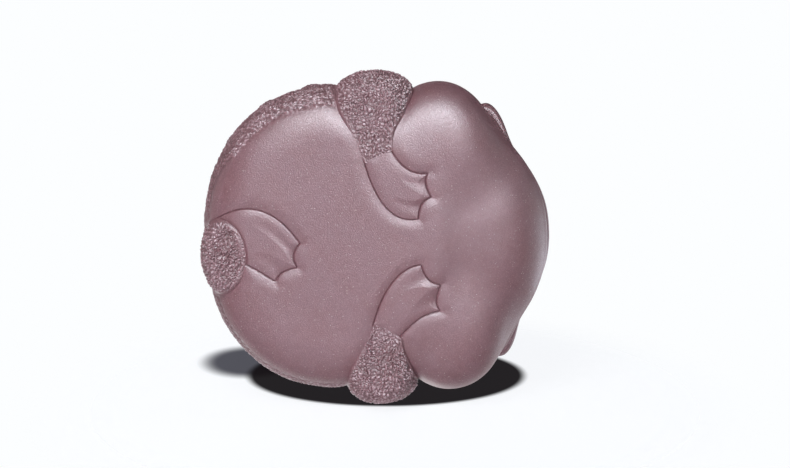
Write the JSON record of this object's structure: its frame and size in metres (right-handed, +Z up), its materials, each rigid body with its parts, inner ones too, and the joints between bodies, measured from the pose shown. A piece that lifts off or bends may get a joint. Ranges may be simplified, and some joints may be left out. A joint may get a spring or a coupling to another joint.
{
  "type": "tea pet",
  "caption": "Squat three-legged toad tea pet in unglazed purple clay, smooth flat belly, folded pebbly legs with webbed feet let into it, warty back.",
  "frame": {"origin": "middle of the flat belly that the toad rests on", "axes": "+Z up from the belly to the back, -Y towards the head, +X the toad's left"},
  "size_m": [0.0958, 0.1002, 0.047],
  "materials": {
    "smooth_clay": "unglazed, burnished smooth, faint sand specks",
    "rough_clay": "unglazed, pebbled skin texture"
  },
  "bodies": {
    "root": {"belly_plate": "smooth_clay", "back_shell": "rough_clay", "head_crown": "smooth_clay", "front_left_leg": "rough_clay", "front_right_leg": "rough_clay", "hind_leg": "rough_clay", "front_left_foot": "smooth_clay", "front_right_foot": "smooth_clay", "hind_foot": "smooth_clay", "left_eyeball": "smooth_clay", "right_eyeball": "smooth_clay", "left_eyelid": "smooth_clay", "right_eyelid": "smooth_clay", "back_wart_01": "rough_clay", "back_wart_02": "rough_clay", "back_wart_03": "rough_clay", "back_wart_04": "rough_clay", "back_wart_05": "rough_clay", "back_wart_06": "rough_clay", "back_wart_07": "rough_clay", "back_wart_08": "rough_clay", "back_wart_09": "rough_clay", "back_wart_10": "rough_clay", "back_wart_11": "rough_clay", "back_wart_12": "rough_clay", "back_wart_13": "rough_clay", "back_wart_14": "rough_clay", "back_wart_15": "rough_clay", "back_wart_16": "rough_clay", "back_wart_17": "rough_clay", "back_wart_18": "rough_clay"}
  },
  "joints": []
}
